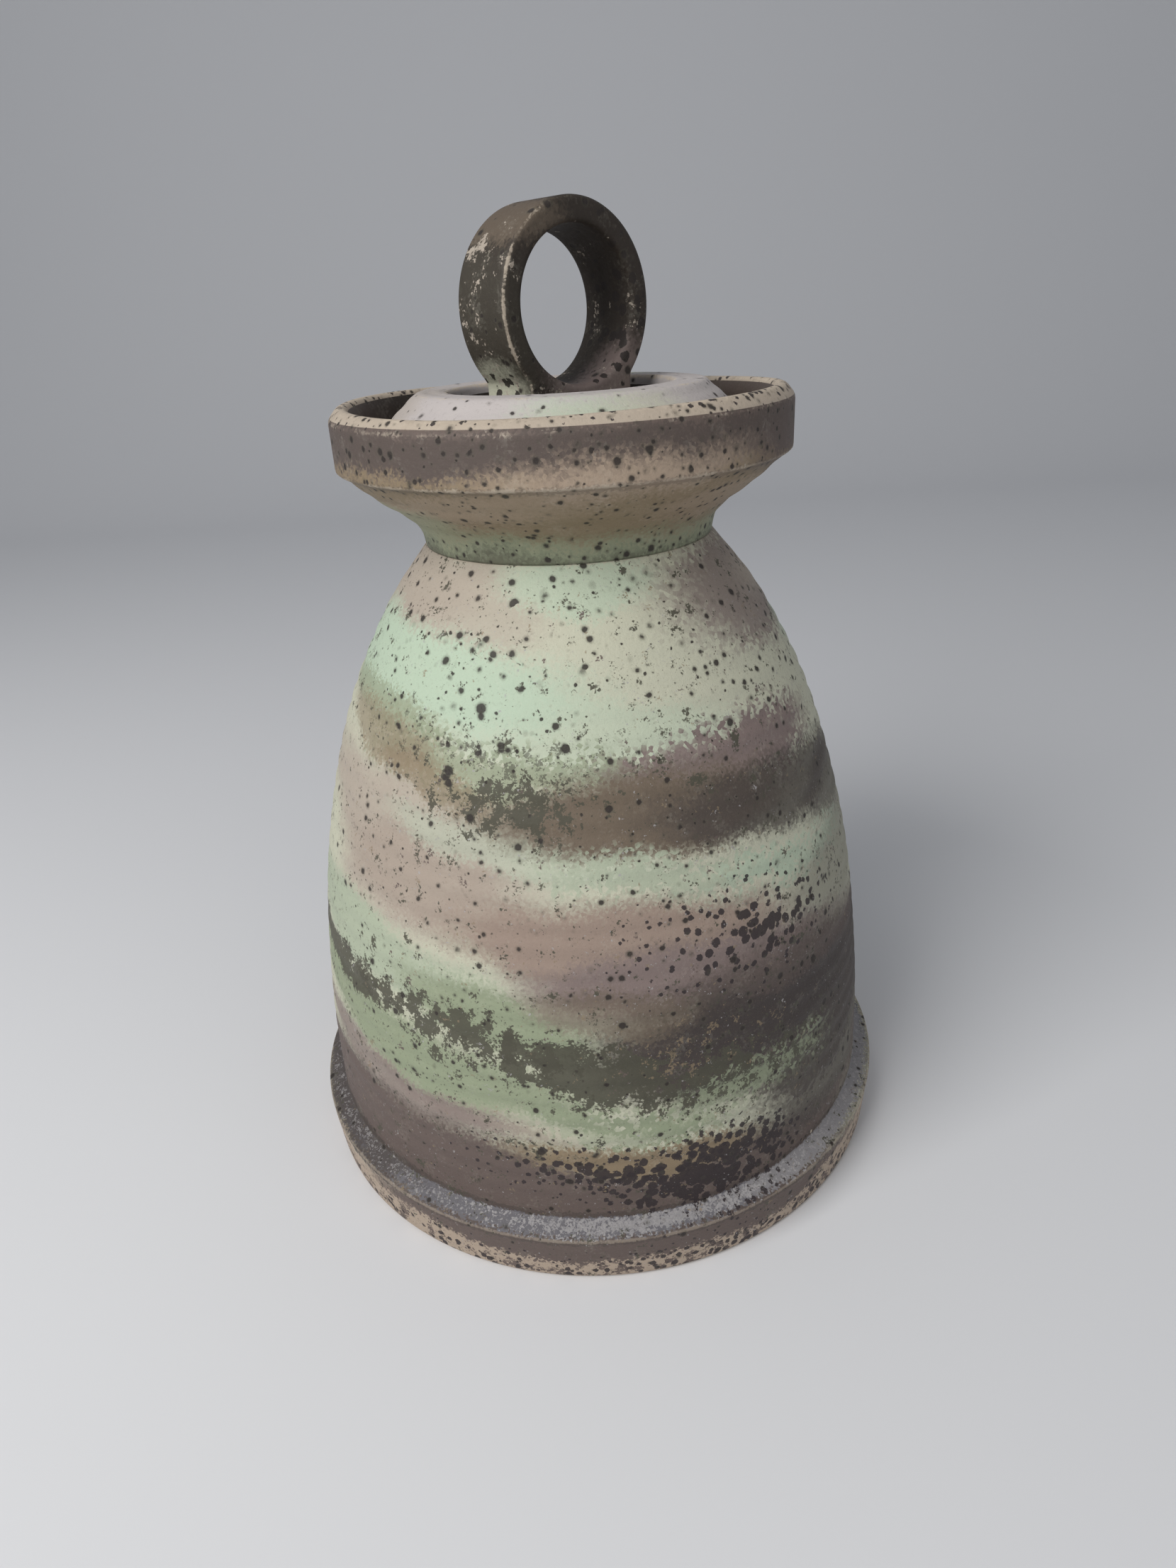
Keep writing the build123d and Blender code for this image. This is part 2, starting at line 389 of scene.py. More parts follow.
def mottle_layers(tree, places, fine, mottles):
    """A layer for each mottle, which crowds together towards the middle of its patch."""
    layers = []
    for mottle in mottles:
        cover = cover_of(tree, places[mottle["border"]], mottle)
        if mottle["spots"]:
            # blots round the cells' centres, wider towards the middle of the patch until they join
            field = add(tree, "ShaderNodeTexVoronoi", {
                "Vector": places["frayed"], "Scale": scale_of(mottle["size"])}, "Distance")
            field = add(tree, "ShaderNodeMath", {0: fine, 1: 0.4, 2: field}, operation="MULTIPLY_ADD")
            field = add(tree, "ShaderNodeMath", {0: 0.2, 1: field}, operation="SUBTRACT")
        else:
            # chips with torn edges, left where two glazes parted
            field = add(tree, "ShaderNodeTexNoise", {
                "Vector": places["torn"], "Scale": scale_of(mottle["size"]), "Detail": 4.0,
                "Roughness": 0.62}, "Fac")
            field = add(tree, "ShaderNodeMath", {0: field, 1: 0.66}, operation="SUBTRACT")
        crowded = add(tree, "ShaderNodeMath", {0: cover, 1: mottle["crowd"], 2: field},
                      operation="MULTIPLY_ADD")
        factor = add(tree, "ShaderNodeMapRange", {
            "Value": crowded, "From Min": 0.0, "From Max": 0.04, "To Max": mottle["strength"],
        }, interpolation_type="SMOOTHSTEP")
        layers.append((factor, getattr(bpy.context.scene.jar_glaze, mottle["colour"])))
    return layers


def spot_layers(tree, places, height, spots, gather):
    """Two layers for each size of spot, an olive halo and the spot, and the height with a pit at every
    spot. A cell of a mosaic holds one spot or none, and its luck sets how large. Spots run larger in
    clouds about 45 mm across, and where they gather."""
    palette = bpy.context.scene.jar_glaze
    crowd = add(tree, "ShaderNodeTexNoise", {
        "Vector": places["edge"], "Scale": scale_of(45), "Detail": 1.0}, "Fac")
    crowd = add(tree, "ShaderNodeMapRange", {
        "Value": crowd, "From Min": 0.3, "From Max": 0.62, "To Min": 0.6, "To Max": 1.0})
    if gather:
        cover = cover_of(tree, places["edge"], gather)
        crowd = add(tree, "ShaderNodeMath", {0: cover, 1: 0.25, 2: crowd}, operation="MULTIPLY_ADD")
    layers = []
    for number, (tint, cell_mm, radius_mm, share) in enumerate(spots):
        radius = radius_mm / cell_mm
        shifted = add(tree, "ShaderNodeVectorMath", {0: places["frayed"], 1: (0.031 * number,) * 3})
        cell = add(tree, "ShaderNodeTexVoronoi", {"Vector": shifted, "Scale": scale_of(cell_mm)}, "Color")
        luck = add(tree, "ShaderNodeSeparateColor", {0: cell})
        size = add(tree, "ShaderNodeMapRange", {
            "Value": luck, "From Min": 1 - share, "From Max": 1.0, "To Max": radius})
        size = add(tree, "ShaderNodeMath", {0: size, 1: crowd}, operation="MULTIPLY")
        depth = add(tree, "ShaderNodeMath", {0: size, 1: cell.node.outputs["Distance"]},
                    operation="SUBTRACT")
        halo = add(tree, "ShaderNodeMapRange", {
            "Value": depth, "From Min": -0.35 * radius, "From Max": 0.0, "To Max": 0.3})
        core = add(tree, "ShaderNodeMapRange", {
            "Value": depth, "From Min": 0.0, "From Max": 0.25 * radius, "To Max": 0.92})
        layers += [(halo, palette.olive), (core, getattr(palette, tint))]
        height = add(tree, "ShaderNodeMath", {0: core, 1: -0.4, 2: height}, operation="MULTIPLY_ADD")
    return layers, height


def glaze(name, base, passes=(), mottles=(), spots=(), gather=None, rough=0.62, turned_mm=1.5, edge_wear_and_highlight=0.8):
    """Reduction-fired stoneware glaze, sprayed in overlapping passes over thrown clay: dry and matt, with
    sandy edges between colours, ragged mottles where the wash pooled, and iron burnt through in spots."""
    material = bpy.data.materials.new(name)
    material.use_nodes = True
    tree = material.node_tree
    tree.nodes.clear()
    place = add(tree, "ShaderNodeTexCoord", out="Object")
    fray = add(tree, "ShaderNodeTexNoise", {
        "Vector": place, "Scale": scale_of(0.9), "Detail": 2.0}, "Color")
    # glaze grains are 0.3 mm; drawn 0.6 mm across so that they show, and 1 mm in the sandy passes
    places = {
        "soft": grainy_place(tree, place, 0.6, 2.4, 9),
        "sandy": grainy_place(tree, place, 1.0, 6.5, 12),
        "crisp": grainy_place(tree, place, 0.5, 0.8, 0.6),
        "torn": grainy_place(tree, place, 0.7, 1.2, 3),
        "frayed": add(tree, "ShaderNodeVectorMath", {0: fray, 1: (0.5 * MM,) * 3, 2: place},
                      operation="MULTIPLY_ADD"),
        "edge": place,
    }
    fine = add(tree, "ShaderNodeTexNoise", {
        "Vector": place, "Scale": scale_of(1.3), "Detail": 6.0, "Roughness": 0.72}, "Fac")
    flake = add(tree, "ShaderNodeTexNoise", {
        "Vector": places["soft"], "Scale": scale_of(5), "Detail": 4.0, "Roughness": 0.6}, "Fac")
    spotted, height = spot_layers(tree, places, fine, spots, gather)
    surface = (*getattr(bpy.context.scene.jar_glaze, base), 1)
    for factor, tint in (pass_layers(tree, places, fine, passes) + weather_layers(tree, fine, flake, edge_wear_and_highlight)
                         + mottle_layers(tree, places, fine, mottles) + spotted):
        surface = add(tree, "ShaderNodeMix", {0: factor, 6: surface, 7: (*tint, 1)}, 2, data_type="RGBA")
    # turning lines run all the way round, so the pattern is squeezed until it reads height alone
    level = add(tree, "ShaderNodeMapping", {"Vector": place, "Scale": (0.04, 0.04, 1.0)})
    lines = add(tree, "ShaderNodeTexNoise", {
        "Vector": level, "Scale": scale_of(turned_mm * 2), "Detail": 3.0, "Roughness": 0.6}, "Fac")
    height = add(tree, "ShaderNodeMath", {0: lines, 1: 0.5, 2: height}, operation="MULTIPLY_ADD")
    bump = add(tree, "ShaderNodeBump", {
        "Height": height, "Strength": 0.8, "Distance": 0.22 * MM}, "Normal")
    roughness = add(tree, "ShaderNodeMapRange", {
        "Value": flake, "From Min": 0.3, "From Max": 0.7, "To Min": rough - 0.08, "To Max": rough + 0.10})
    shader = add(tree, "ShaderNodeBsdfPrincipled", {
        "Base Color": surface, "Roughness": roughness, "Normal": bump, "Specular IOR Level": 0.4})
    add(tree, "ShaderNodeOutputMaterial", {"Surface": shader})
    return material


# ------------------------------------------------------------------ where each glaze was sprayed
def radius_at(height_mm):
    """The wall's radius at a height, along the bell and the collar."""
    radii, heights = zip((78, 0), (79.2, 13.4), (74.4, 15.6), *BELL_WALL,
                         (33.6, 159), (50.3, 176.4), (51.6, 190))
    return float(np.interp(height_mm, heights, radii))


def sprayed(colour_name, at, height, long, tall, slant=0, **more):
    """One pass of the spray gun: its colour, degrees right of the front, height, half length and half
    height in millimetres, and the slant at which it falls to the right, in degrees. It may also say how
    softly it builds up, how much its edge frays, its strength, its half depth through the wall and the
    radius its middle lies at, in millimetres, and which grain its border has."""
    values = dict(colour=colour_name, at=at, height=height, long=long, tall=tall, slant=slant,
                  soft=0.5, fray=0.3, strength=1.0, deep=46, border="soft", radius=radius_at(height))
    return values | more


def sandy(*place, **more):
    """A pass whose grains scatter further where it meets the next."""
    return sprayed(*place, **more, border="sandy")


def banded(colour_name, height, tall, **more):
    """A pass carried all the way round at one height."""
    return sprayed(colour_name, 0, height, 900, tall, **({"radius": 0, "deep": 900} | more))


def mottled(colour_name, at, height, long, tall, slant=0, **more):
    """A patch where one colour breaks up into chips, or into spots, of about one size in millimetres."""
    values = dict(size=2.5, crowd=0.4, strength=0.94, spots=False)
    return sprayed(colour_name, at, height, long, tall, slant) | values | more


BELL_PASSES = [
    sprayed("blush", -78, 152, 42, 15),
    sprayed("blush", -40, 150, 30, 12, 4, strength=0.7),
    sprayed("mint", 2, 155, 22, 7, strength=0.7),
    # painted shade: the collar's shadow on the right shoulder, laid in mauve
    sandy("mauve", 74, 149, 40, 18, strength=0.85),
    sprayed("mint", -52, 138, 66, 11, 3),
    sprayed("mint", -4, 129, 50, 9, 6, strength=0.5),
    sprayed("blush", -50, 102, 60, 24, 4),
    sprayed("cream", -80, 92, 28, 20),
    sprayed("rose", -38, 98, 30, 13, 4, strength=0.4),
    sprayed("moss", -60, 130.5, 34, 4.5, 7, strength=0.75),
    sandy("moss", -18, 122, 52, 6.5, 5, strength=0.8),
    sprayed("mint", -14, 106, 44, 6, 8, strength=0.4),
    sprayed("tan", -52, 124.5, 30, 6, 9, strength=0.65),
    sprayed("tan", -34, 118.5, 24, 5, 12, strength=0.75),
    sandy("mauve", 34, 119, 40, 9, -2),
    sprayed("bark", 12, 112, 50, 11, 2),
    sprayed("umber", 46, 109, 46, 10, 4, strength=0.85),
    sprayed("umber", 72, 102, 30, 12, 6, strength=0.8),
    sandy("celadon", 22, 98, 50, 5, 10, strength=0.85),
    sandy("mint", 48, 93.5, 34, 4.5, 6, strength=0.6),
    sprayed("rose", 6, 86, 56, 13, 4),
    sprayed("mauve", 20, 76, 54, 10, 3),
    sprayed("umber", 68, 84, 40, 14, strength=0.45),
    sprayed("celadon", -52, 77, 62, 11, 7),
    sprayed("moss", -20, 68, 32, 10, 12),
    sprayed("umber", 48, 56, 96, 21, 5, soft=0.35),
    sprayed("bark", 3, 71, 26, 7, 8, strength=0.7),
    sprayed("rose", -24, 43, 44, 5, 8, strength=0.5),
    sprayed("moss", -42, 55, 72, 11, 8),
    sandy("moss", 2, 42.5, 36, 6.5, 11),
    sprayed("mauve", -46, 43, 54, 7, 5, strength=0.85),
    sprayed("plum", -44, 25, 86, 18, 3, soft=0.35),
    sprayed("plum", 20, 20, 70, 14, 0),
    sprayed("cream", -4, 41, 26, 3, 7, strength=0.45),
    sprayed("tan", 6, 32, 40, 6, 5),
    sandy("umber", 62, 30, 58, 18, 3, strength=0.85),
    sandy("moss", 32, 45, 34, 7, 4, strength=0.8),
    sandy("umber", 50, 39, 36, 8, strength=0.85),
    sprayed("chocolate", 36, 60, 44, 11, 3, strength=0.4),
    sprayed("plum", 46, 71, 50, 9, 4, strength=0.6),
    # round the back
    sprayed("blush", 130, 150, 60, 12),
    sprayed("rose", 150, 94, 90, 10, 3, strength=0.6),
    sprayed("tan", 165, 116, 80, 7, 5, strength=0.85),
    sandy("mauve", 232, 108, 60, 8, -4, strength=0.9),
    sprayed("celadon", 232, 74, 70, 9, 5),
    sandy("moss", 120, 44, 60, 8, 4),
    sprayed("mauve", 215, 62, 60, 7, 4, strength=0.8),
    sprayed("plum", 108, 24, 70, 14, 2, soft=0.35),
    sprayed("plum", 244, 24, 80, 15, 3, soft=0.35),
    sprayed("mint", 140, 138, 70, 13, -3),
    sprayed("blush", 200, 120, 60, 16, 5),
    sprayed("umber", 120, 62, 60, 18, -6, soft=0.35),
    sandy("mauve", 175, 84, 60, 14, 5),
    sprayed("bark", 220, 92, 50, 9, 8),
    sprayed("moss", 205, 58, 70, 12, -5),
    sandy("celadon", 150, 104, 56, 9, 8),
    sprayed("plum", 170, 28, 90, 17, -2, soft=0.35),
    sandy("umber", 235, 44, 40, 9, 6),
    # foot: washed with plum over sandy clay, and a slaty band where the ledge caught the ash, with a
    # painted sheen on its front and a painted shadow line where the bell meets the ledge
    banded("plum", 18, 5, strength=0.7),
    # painted shadow line where the bell's wall meets the ledge
    banded("umber", 16.4, 1.4, soft=0.3, strength=0.6, border="crisp"),
    banded("sand", 2, 12, soft=0.3),
    sprayed("plum", 4, 10.2, 84, 4.8, deep=70, soft=0.25),
    sprayed("plum", 180, 9, 120, 5, deep=60),
    banded("slate", 14.9, 1.25, soft=0.25, border="crisp"),
    # painted sheen on the ledge, right of the front
    sprayed("silver_and_sheen", 56, 14.9, 60, 1.6, strength=0.45, soft=0.3, border="crisp"),
    sprayed("umber", -70, 14.6, 60, 4, strength=0.8, fray=0.5),
    banded("umber", 13.0, 0.9, soft=0.3, strength=0.5, fray=0.6, border="crisp"),
]
BELL_MOTTLES = [
    mottled("olive", -68, 67, 42, 7, 3, crowd=0.5, size=6),
    mottled("olive", -28, 64, 50, 10, 9, crowd=0.32, size=4.5),
    mottled("olive", 0, 56, 46, 13, 9, crowd=0.40, size=5.5),
    mottled("olive", -16, 116, 26, 10, crowd=0.30, size=3.2),
    mottled("olive", -14, 125, 56, 9, 4, crowd=0.13, size=2.2, strength=0.7),
    mottled("olive", 24, 50, 50, 14, 8, crowd=0.2, size=3.4, strength=0.9),
    mottled("olive", 190, 74, 50, 8, -6, crowd=0.3, size=5),
    mottled("chocolate", 32, 82, 46, 19, 2, crowd=0.62, size=2.5, spots=True),
    mottled("chocolate", 20, 24, 40, 16, crowd=1.0, size=2.4, spots=True),
    mottled("chocolate", 2, 30, 54, 12, 2, crowd=0.66, size=2.3, spots=True),
    mottled("chocolate", 150, 30, 60, 10, crowd=0.7, size=3.2, spots=True),
    mottled("chocolate", 24, 2, 70, 12, crowd=0.62, size=2.3, spots=True, radius=60, deep=60),
    mottled("plum", 0, 2, 900, 12, crowd=0.16, size=2.8, radius=0, deep=900),
    mottled("chocolate", 0, 2, 900, 11, crowd=0.42, size=2.4, spots=True, radius=0, deep=900),
    # pale grains in the slate, crowded at the front as painted sheen
    mottled("silver_and_sheen", 6, 14.9, 60, 1.5, crowd=0.34, size=1.3, strength=0.6, border="crisp"),
    mottled("silver_and_sheen", 0, 14.9, 900, 1.5, crowd=0.16, size=1.3, strength=0.5, radius=0, deep=900,
            border="crisp"),
    mottled("tan", 18, 60, 36, 11, crowd=0.11, size=2.4, strength=0.7),
]
# spots: colour, cell and largest radius in millimetres, and the share of the cells that hold one
BELL_SPOTS = [("iron", 4.1, 1.2, 0.45), ("iron", 2.9, 0.95, 0.6), ("iron", 1.8, 0.42, 0.5),
              ("edge", 9, 0.6, 0.4)]
BELL_GATHERING = sprayed("iron", -8, 140, 90, 40)

COLLAR_PASSES = [
    sprayed("buff", -40, 171, 40, 5, -3, strength=0.5),
    banded("moss", 160, 8, soft=0.9, strength=0.9),
    # olive at the neck: partly green glaze, partly painted shade in the crease under the collar
    banded("olive", 158, 6, soft=1.0, strength=0.75),
    sprayed("moss", -58, 168, 20, 6, strength=0.6),
    banded("plum", 185, 8, strength=0.95, soft=0.5),
    sprayed("buff", 52, 170, 30, 5, strength=0.5),
    banded("umber", 183.5, 5, strength=0.5, soft=0.4),
    sprayed("buff", 14, 178.5, 42, 7, -3, soft=0.8, fray=0.5),
    sprayed("plum", 66, 180, 26, 8, strength=0.5),
    # painted shadow line under the overhang of the band's ridge
    banded("umber", 176.6, 0.9, soft=0.3, strength=0.35, border="crisp"),
    banded("edge", 190.7, 3.0, soft=0.08, fray=0.03, strength=0.7, border="edge"),
]
COLLAR_MOTTLES = [
    mottled("chocolate", 0, 190, 900, 3, crowd=0.32, size=2.6, spots=True, radius=0, deep=900,
            border="crisp"),
]
COLLAR_SPOTS = [("iron", 2.8, 1.15, 0.7), ("iron", 2.0, 0.8, 0.75), ("iron", 1.5, 0.36, 0.5)]

LID_PASSES = [
    sprayed("cream", 16, 188, 40, 9, deep=30, strength=0.9),
    sprayed("mint", 2, 190, 24, 5, deep=30, strength=0.5),
    sprayed("celadon", 150, 187, 50, 14, deep=30),
    sprayed("blush", -84, 187, 22, 14, strength=0.5),
    banded("rose", 178.6, 2.6, strength=0.6, border="crisp"),
]
LID_SPOTS = [("iron", 3.2, 1.2, 0.55), ("iron", 2.2, 0.7, 0.55)]

LINER_PASSES = [
    sprayed("plum", -60, 182, 60, 30, strength=0.5),
    sprayed("plum", 120, 182, 60, 30, strength=0.5),
]
DISH_PASSES = [
    sandy("moss", 70, 187, 12, 6, radius=22, deep=10, strength=0.8),
]
LINER_SPOTS = [("iron", 3.4, 1.1, 0.5), ("iron", 2.0, 0.5, 0.4)]

CLAY_SPOTS = [("iron", 5.0, 0.9, 0.4), ("iron", 2.4, 0.4, 0.4)]

RING_PASSES = [
    sprayed("olive", -75, 200, 44, 26, radius=18, deep=16, strength=0.3),
    sprayed("bark", -60, 224, 22, 7, radius=12, deep=16, strength=0.7),
    sprayed("cream", -60, 190, 16, 9, -12, radius=20, deep=12, border="crisp", strength=0.9),
    sprayed("mauve", 60, 194, 24, 14, radius=14, deep=16, strength=0.75),
]
RING_MOTTLES = [
    mottled("blush", -76, 215, 24, 14, radius=18, deep=14, crowd=0.15, size=5.0),
    mottled("blush", -70, 198, 20, 14, radius=18, deep=12, crowd=0.10, size=3.0),
    mottled("iron", 80, 206, 40, 30, radius=14, deep=20, crowd=0.6, size=3.0, spots=True),
    mottled("iron", -60, 191, 20, 10, radius=18, deep=14, crowd=0.55, size=2.8, spots=True),
]
RING_SPOTS = [("iron", 3.4, 1.3, 0.6), ("iron", 2.2, 0.6, 0.5)]


# ------------------------------------------------------------------ operators, one to each piece
class JAR_OT_bell(bpy.types.Operator):
    """Throw the bell-shaped body on its stepped foot"""
    bl_idname = "jar.bell"
    bl_label = "Bell and Foot"

    def execute(self, context):
        shape, throwing = context.scene.jar_shape, context.scene.jar_throwing
        foot_radius, ledge_radius = FLANGE_RADIUS - shape.flange_flare, FLANGE_RADIUS - shape.ledge_width
        ledge_height = shape.flange_height + shape.ledge_rise
        bore = shape.neck_radius - shape.neck_wall
        outline = np.array([(ledge_radius, ledge_height), *((r * MM, z * MM) for r, z in BELL_WALL),
                            (shape.neck_radius, NECK_HEIGHT)])
        inside = (outline - outward(outline) * shape.wall)[1:-1]
        inner_radius = ledge_radius - shape.wall
        wall = smooth_path(outline)
        bore_path = smooth_path([
            (bore, NECK_HEIGHT), *inside[::-1], (inner_radius, 2.5 * shape.floor)])
        step, coarse_step = throwing.mesh_step, 3 * throwing.mesh_step
        path = np.vstack([
            divided(eased_corners([
                (0, 0, 0), (foot_radius, 0, 1.6 * MM), (FLANGE_RADIUS, shape.flange_height, 0.7 * MM),
                (ledge_radius, ledge_height, 0.3 * MM), tuple(wall[2]) + (0,)]), coarse_step),
            divided(wall[3:-2], step),
            eased_corners([tuple(wall[-2]) + (0,), (shape.neck_radius, NECK_HEIGHT, 0.5 * MM),
                           (bore, NECK_HEIGHT, 0.8 * MM), tuple(bore_path[2]) + (0,)]),
            divided(bore_path[3:-1], coarse_step),
            divided(eased_corners([tuple(bore_path[-1]) + (0,), (inner_radius, shape.floor, 11 * MM),
                                   (0, shape.floor, 0)], 9), coarse_step),
        ])
        mouth = int(np.argmax(path[:, 1] > NECK_HEIGHT - 0.05 * MM)) + 2
        order = np.arange(len(path))
        finish = np.where(order > mouth, LINED, np.where(path[:, 1] < 0.4 * MM, BARE, GLAZED))

        def relief(angle, r, z):
            fade = 30 * MM  # nothing moves at the base or the neck
            free = np.clip(z / fade, 0, 1) * np.clip((NECK_HEIGHT - z) / fade, 0, 1)
            ridge = np.sin(2 * math.pi * z / throwing.ridge_pitch + angle)
            push = free * (throwing.wobble * wander(angle, z, WOBBLE_SEED) + throwing.ridge_depth * ridge)
            return push, np.zeros_like(push)

        points, faces, face_finish, edges = turned_surface(path, finish, relief, around=288)
        finishes = [
            glaze("sprayed_matt_stoneware_glaze_bell", "cream", BELL_PASSES, BELL_MOTTLES, BELL_SPOTS,
                  gather=BELL_GATHERING, edge_wear_and_highlight=0.25),
            glaze("poured_brown_liner_glaze_bell", "umber", spots=LINER_SPOTS, rough=0.5, turned_mm=3),
            glaze("bare_stoneware_clay_foot", "clay", spots=CLAY_SPOTS, rough=0.85, edge_wear_and_highlight=0.0)]
        piece = mesh_object("thrown_bell", points, faces, finishes, face_finish, edges)
        stand_for(piece, "jar_body", "jar")
        return {"FINISHED"}


class JAR_OT_collar(bpy.types.Operator):
    """Throw the flared collar with its gallery"""
    bl_idname = "jar.collar"
    bl_label = "Collar"

    def execute(self, context):
        shape, throwing = context.scene.jar_shape, context.scene.jar_throwing
        bore = shape.neck_radius - shape.neck_wall
        inner = COLLAR_RADIUS - shape.collar_wall
        gallery_inner = inner - shape.gallery_width
        lip_edge = LIP_HEIGHT - shape.lip_rise
        bowl_top = (COLLAR_RADIUS - shape.ridge_step, shape.ridge_height)
        bowl = smooth_path([
            (shape.neck_radius, NECK_HEIGHT), *((r * MM, z * MM) for r, z in BOWL_BENDS), bowl_top])
        throat = smooth_path([
            (gallery_inner, GALLERY_HEIGHT), *((r * MM, z * MM) for r, z in THROAT_BENDS),
            (bore, NECK_HEIGHT)])
        path = np.vstack([
            bowl[:-2],
            eased_corners([
                tuple(bowl[-2]) + (0,), bowl_top + (0.3 * MM,),
                (COLLAR_RADIUS, shape.ridge_height + 0.5 * MM, 0.5 * MM),
                (COLLAR_RADIUS, lip_edge, 0.8 * MM),
                (COLLAR_RADIUS - shape.lip_chamfer, LIP_HEIGHT, 1.0 * MM),
                (inner + 1.2 * MM, LIP_HEIGHT, 0.9 * MM), (inner, LIP_HEIGHT - 2.5 * MM, 1.4 * MM),
                (inner, GALLERY_HEIGHT, 0.7 * MM), (gallery_inner, GALLERY_HEIGHT, 0.8 * MM),
                tuple(throat[2]) + (0,)]),
            throat[3:-2],
            eased_corners([tuple(throat[-2]) + (0,), (bore, NECK_HEIGHT, 0.4 * MM),
                           (shape.neck_radius, NECK_HEIGHT, 0)]),
        ])
        path = even_steps(path, throwing.mesh_step / 2)
        path[-1] = path[0]
        crest = int(np.argmax(path[:, 1]))
        order = np.arange(len(path))
        on_gallery = (np.abs(path[:, 1] - GALLERY_HEIGHT) < 0.3 * MM) & (path[:, 0] < inner)
        inside = (order > crest) & (path[:, 0] < inner + 0.8 * MM)
        finish = np.where(inside & on_gallery, BARE, np.where(inside, LINED, GLAZED))

        def relief(angle, r, z):
            high = np.clip((z - NECK_HEIGHT) / (LIP_HEIGHT - NECK_HEIGHT), 0, 1)
            ridge = np.sin(2 * math.pi * z / (0.7 * throwing.ridge_pitch) + angle)
            outer = (r > shape.neck_radius - 0.1 * MM) & (z < GALLERY_HEIGHT - 1 * MM)
            push = 0.6 * throwing.ridge_depth * ridge * outer * np.sin(math.pi * high)
            lift = throwing.rim_warp * high ** 4 * np.sin(2 * (angle - FRONT) - 0.6)
            return push, lift

        points, faces, face_finish, edges = turned_surface(
            path, finish, relief, around=360, closed_loop=True)
        finishes = [
            glaze("sprayed_matt_stoneware_glaze_collar", "tan", COLLAR_PASSES, COLLAR_MOTTLES,
                  COLLAR_SPOTS, edge_wear_and_highlight=0.5),
            glaze("poured_brown_liner_glaze_collar", "sable", LINER_PASSES, spots=LINER_SPOTS, rough=0.5),
            glaze("bare_stoneware_clay_gallery", "clay", spots=CLAY_SPOTS, rough=0.85, edge_wear_and_highlight=0.0)]
        piece = mesh_object("thrown_collar", points, faces, finishes, face_finish, edges)
        stand_for(piece, "collar", "jar")
        return {"FINISHED"}


class JAR_OT_lid(bpy.types.Operator):
    """Throw the hollow lid with its sunk centre"""
    bl_idname = "jar.lid"
    bl_label = "Lid"

    def execute(self, context):
        shape, throwing = context.scene.jar_shape, context.scene.jar_throwing
        ceiling = DISH_FLOOR - shape.lid_wall
        path = eased_corners([
            (0, ceiling, 0), (shape.lid_top_radius, ceiling, 2 * MM),
            (LID_RADIUS - shape.lid_seat, GALLERY_HEIGHT, 0.8 * MM),
            (LID_RADIUS, GALLERY_HEIGHT, 0.8 * MM),
            (LID_RADIUS, GALLERY_HEIGHT + shape.lid_edge, 1.2 * MM),
            (shape.lid_top_radius, LID_TOP, 0.7 * MM),
            (shape.dish_radius, LID_TOP, 1.2 * MM), (shape.dish_radius - 0.6 * MM, DISH_FLOOR, 3.4 * MM),
            (0, DISH_FLOOR, 0)])
        path = even_steps(path, throwing.mesh_step / 2)
        order = np.arange(len(path))
        widest = int(np.argmax(path[:, 0] > LID_RADIUS - 0.05 * MM))
        # the sunk dish is dark partly as painted shade
        sunk = (order > widest) & (path[:, 0] < shape.dish_radius - 0.2 * MM)
        finish = np.where(order < widest, BARE, np.where(sunk, LINED, GLAZED))

        def relief(angle, r, z):
            ridge = np.sin(2 * math.pi * r / (0.6 * throwing.ridge_pitch) + angle)
            free = (z > GALLERY_HEIGHT + 1 * MM) * np.clip((r - 2 * MM) / (8 * MM), 0, 1)
            push = 0.4 * throwing.ridge_depth * ridge * free
            return push, np.zeros_like(push)

        points, faces, face_finish, edges = turned_surface(path, finish, relief, around=300)
        finishes = [
            glaze("sprayed_matt_stoneware_glaze_lid", "pearl", LID_PASSES, spots=LID_SPOTS),
            # the dish's dark liner is partly painted shade
            glaze("brown_liner_and_painted_shade_lid", "sable", DISH_PASSES, spots=LINER_SPOTS, rough=0.5),
            glaze("bare_stoneware_clay_lid", "clay", spots=CLAY_SPOTS, rough=0.85, edge_wear_and_highlight=0.0)]
        piece = mesh_object("thrown_lid", points, faces, finishes, face_finish, edges)
        stand_for(piece, "lid", "lid")
        return {"FINISHED"}


